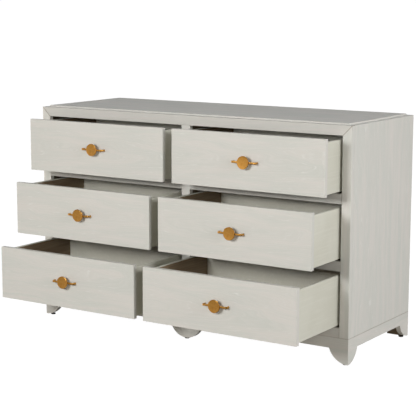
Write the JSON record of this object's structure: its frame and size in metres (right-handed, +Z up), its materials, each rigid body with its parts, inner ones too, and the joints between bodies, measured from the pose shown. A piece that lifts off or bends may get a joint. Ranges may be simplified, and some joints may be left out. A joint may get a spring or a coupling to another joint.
{
  "type": "dresser with drawers",
  "caption": "Low wide dresser with two columns of inset drawers part open, disc and bar pulls, a proud top panel and a base with round lobed feet.",
  "frame": {"origin": "middle of the sole of the glide under the centre front foot, on the floor", "axes": "+X to the right seen from the front, +Y towards the back, +Z up"},
  "size_m": [1.42, 0.849, 0.8822],
  "materials": {
    "limed_oak": "white limed oak veneer, satin, with fine pale grain",
    "box_paint": "smooth satin grey-green lacquer on the drawer boxes",
    "pull_brass": "aged brushed brass",
    "glide_plastic": "dark moulded plastic",
    "bare_wood": "unfinished wood and plywood, planed, with fine streaks",
    "runner_steel": "dark phosphated steel of the drawer runners and screws"
  },
  "bodies": {
    "carcass": {"top_panel": "limed_oak", "side_panel_left": "limed_oak", "side_panel_right": "limed_oak", "back_panel": "limed_oak", "back_rail": "limed_oak", "centre_partition": "limed_oak", "bottom_panel": "limed_oak", "frame_top_rail": "limed_oak", "frame_bottom_rail": "limed_oak", "frame_stile_left": "limed_oak", "frame_stile_right": "limed_oak", "frame_centre_stile": "limed_oak", "frame_rail_upper": "limed_oak", "frame_rail_lower": "limed_oak", "base_front": "limed_oak", "base_left": "limed_oak", "base_right": "limed_oak", "base_back": "limed_oak", "glide_centre": "glide_plastic", "glide_front_left": "glide_plastic", "glide_front_right": "glide_plastic", "glide_back_left": "glide_plastic", "glide_back_right": "glide_plastic"},
    "drawer_top_left": {"drawer_front_top_left": "limed_oak", "box_side_left_top_left": "box_paint", "box_side_right_top_left": "box_paint", "box_back_top_left": "box_paint", "box_bottom_top_left": "bare_wood", "pull_top_left": "pull_brass"},
    "drawer_top_right": {"drawer_front_top_right": "limed_oak", "box_side_left_top_right": "box_paint", "box_side_right_top_right": "box_paint", "box_back_top_right": "box_paint", "box_bottom_top_right": "bare_wood", "pull_top_right": "pull_brass"},
    "drawer_middle_left": {"drawer_front_middle_left": "limed_oak", "box_side_left_middle_left": "box_paint", "box_side_right_middle_left": "box_paint", "box_back_middle_left": "box_paint", "box_bottom_middle_left": "bare_wood", "pull_middle_left": "pull_brass"},
    "drawer_middle_right": {"drawer_front_middle_right": "limed_oak", "box_side_left_middle_right": "box_paint", "box_side_right_middle_right": "box_paint", "box_back_middle_right": "box_paint", "box_bottom_middle_right": "bare_wood", "pull_middle_right": "pull_brass"},
    "drawer_bottom_left": {"drawer_front_bottom_left": "limed_oak", "box_side_left_bottom_left": "box_paint", "box_side_right_bottom_left": "box_paint", "box_back_bottom_left": "box_paint", "box_bottom_bottom_left": "bare_wood", "pull_bottom_left": "pull_brass"},
    "drawer_bottom_right": {"drawer_front_bottom_right": "limed_oak", "box_side_left_bottom_right": "box_paint", "box_side_right_bottom_right": "box_paint", "box_back_bottom_right": "box_paint", "box_bottom_bottom_right": "bare_wood", "pull_bottom_right": "pull_brass"}
  },
  "joints": [
    {"name": "slide_top_left", "type": "slide", "parent": "carcass", "child": "drawer_top_left", "axis": [0, -1, 0], "range_m": [-0.124, 0.216]},
    {"name": "slide_top_right", "type": "slide", "parent": "carcass", "child": "drawer_top_right", "axis": [0, -1, 0], "range_m": [-0.124, 0.216]},
    {"name": "slide_middle_left", "type": "slide", "parent": "carcass", "child": "drawer_middle_left", "axis": [0, -1, 0], "range_m": [-0.214, 0.126]},
    {"name": "slide_middle_right", "type": "slide", "parent": "carcass", "child": "drawer_middle_right", "axis": [0, -1, 0], "range_m": [-0.214, 0.126]},
    {"name": "slide_bottom_left", "type": "slide", "parent": "carcass", "child": "drawer_bottom_left", "axis": [0, -1, 0], "range_m": [-0.312, 0.028]},
    {"name": "slide_bottom_right", "type": "slide", "parent": "carcass", "child": "drawer_bottom_right", "axis": [0, -1, 0], "range_m": [-0.312, 0.028]}
  ]
}
